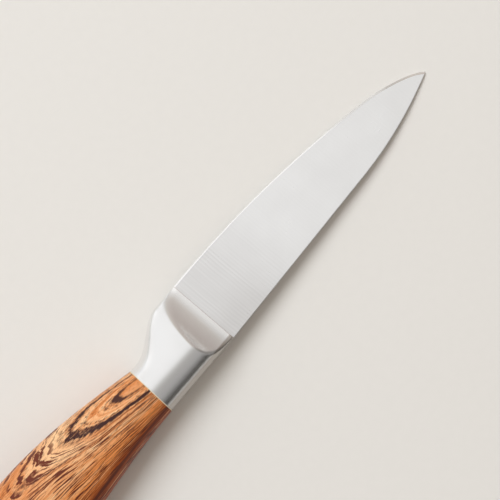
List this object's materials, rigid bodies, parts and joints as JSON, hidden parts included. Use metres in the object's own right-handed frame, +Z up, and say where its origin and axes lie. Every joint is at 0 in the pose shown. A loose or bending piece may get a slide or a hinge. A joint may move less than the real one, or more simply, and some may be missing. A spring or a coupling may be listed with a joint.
{
  "type": "paring knife",
  "caption": "Paring knife lying on its side, with a slim pointed blade, a steel bolster scooped towards the blade and a swelling wooden handle with a hidden tang.",
  "frame": {"origin": "on the table, under the middle of the knife's box as it lies on its side", "axes": "+X along the knife from the butt to the tip, +Y to the cutting edge, +Z up out of the side that faces up"},
  "size_m": [0.2022, 0.0266, 0.0194],
  "materials": {
    "blade_steel": "satin, with fine grinding lines from the spine to the edge and a bright sharpened bevel",
    "bolster_steel": "fine satin, smoother than the blade",
    "spacer": "matte, cream",
    "handle_wood": "oiled semi-gloss, orange-brown with dark looped grain",
    "glue": "cured and sanded flush, pale amber",
    "pin_steel": "plain drawn rod"
  },
  "bodies": {
    "root": {"blade": "blade_steel", "bolster": "bolster_steel", "joint_spacer": "spacer", "handle_left": "handle_wood", "handle_right": "handle_wood", "handle_glue": "glue", "front_tang_pin": "pin_steel", "rear_tang_pin": "pin_steel"}
  },
  "joints": []
}
